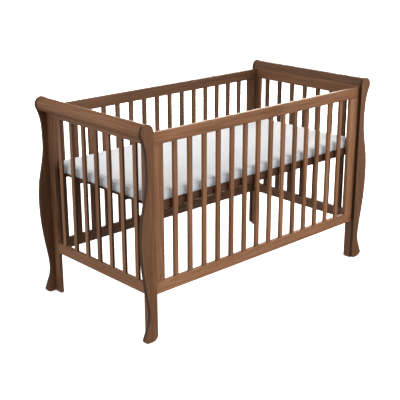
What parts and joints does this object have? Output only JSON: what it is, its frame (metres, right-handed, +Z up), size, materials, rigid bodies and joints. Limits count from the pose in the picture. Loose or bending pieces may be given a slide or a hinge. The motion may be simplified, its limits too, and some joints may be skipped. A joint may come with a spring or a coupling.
{
  "type": "baby crib",
  "caption": "Sleigh-style wooden cot with slatted sides and ends, scrolled end boards, a slatted base that bolts on at different heights and a thin foam mattress.",
  "frame": {"origin": "on the floor, under the middle of the crib", "axes": "+X along the crib towards its right end, +Y from the front side to the rear side, +Z up"},
  "size_m": [1.573, 0.785, 1],
  "materials": {
    "walnut_wood": "satin",
    "deck_wood": "satin",
    "mattress_cover": "matte",
    "zinc_steel": "satin"
  },
  "bodies": {
    "frame": {"left_scroll_rail": "walnut_wood", "left_upper_rail": "walnut_wood", "left_lower_rail": "walnut_wood", "left_end_slats": "walnut_wood", "front_left_sleigh_board": "walnut_wood", "front_left_leg": "walnut_wood", "rear_left_sleigh_board": "walnut_wood", "rear_left_leg": "walnut_wood", "right_scroll_rail": "walnut_wood", "right_upper_rail": "walnut_wood", "right_lower_rail": "walnut_wood", "right_end_slats": "walnut_wood", "front_right_sleigh_board": "walnut_wood", "front_right_leg": "walnut_wood", "rear_right_sleigh_board": "walnut_wood", "rear_right_leg": "walnut_wood", "front_top_rail": "walnut_wood", "front_bottom_rail": "walnut_wood", "front_left_stile": "walnut_wood", "front_right_stile": "walnut_wood", "front_slat_01": "walnut_wood", "front_slat_02": "walnut_wood", "front_slat_03": "walnut_wood", "front_slat_04": "walnut_wood", "front_slat_05": "walnut_wood", "front_slat_06": "walnut_wood", "front_slat_07": "walnut_wood", "front_slat_08": "walnut_wood", "front_slat_09": "walnut_wood", "front_slat_10": "walnut_wood", "front_slat_11": "walnut_wood", "front_slat_12": "walnut_wood", "front_slat_13": "walnut_wood", "front_slat_14": "walnut_wood", "rear_top_rail": "walnut_wood", "rear_bottom_rail": "walnut_wood", "rear_left_stile": "walnut_wood", "rear_right_stile": "walnut_wood", "rear_slat_01": "walnut_wood", "rear_slat_02": "walnut_wood", "rear_slat_03": "walnut_wood", "rear_slat_04": "walnut_wood", "rear_slat_05": "walnut_wood", "rear_slat_06": "walnut_wood", "rear_slat_07": "walnut_wood", "rear_slat_08": "walnut_wood", "rear_slat_09": "walnut_wood", "rear_slat_10": "walnut_wood", "rear_slat_11": "walnut_wood", "rear_slat_12": "walnut_wood", "rear_slat_13": "walnut_wood", "rear_slat_14": "walnut_wood"},
    "mattress_base": {"base_rail_front": "deck_wood", "base_rail_rear": "deck_wood", "base_slat_deck": "deck_wood", "base_bolt_front_left": "zinc_steel", "base_bolt_front_right": "zinc_steel", "base_bolt_rear_left": "zinc_steel", "base_bolt_rear_right": "zinc_steel"},
    "mattress": {"mattress": "mattress_cover"}
  },
  "joints": [
    {"name": "base_height", "type": "slide", "parent": "frame", "child": "mattress_base", "axis": [0, 0, 1], "range_m": [-0.3, 0]},
    {"name": "mattress_lift", "type": "slide", "parent": "mattress_base", "child": "mattress", "axis": [0, 0, 1], "range_m": [0, 0.6]}
  ]
}
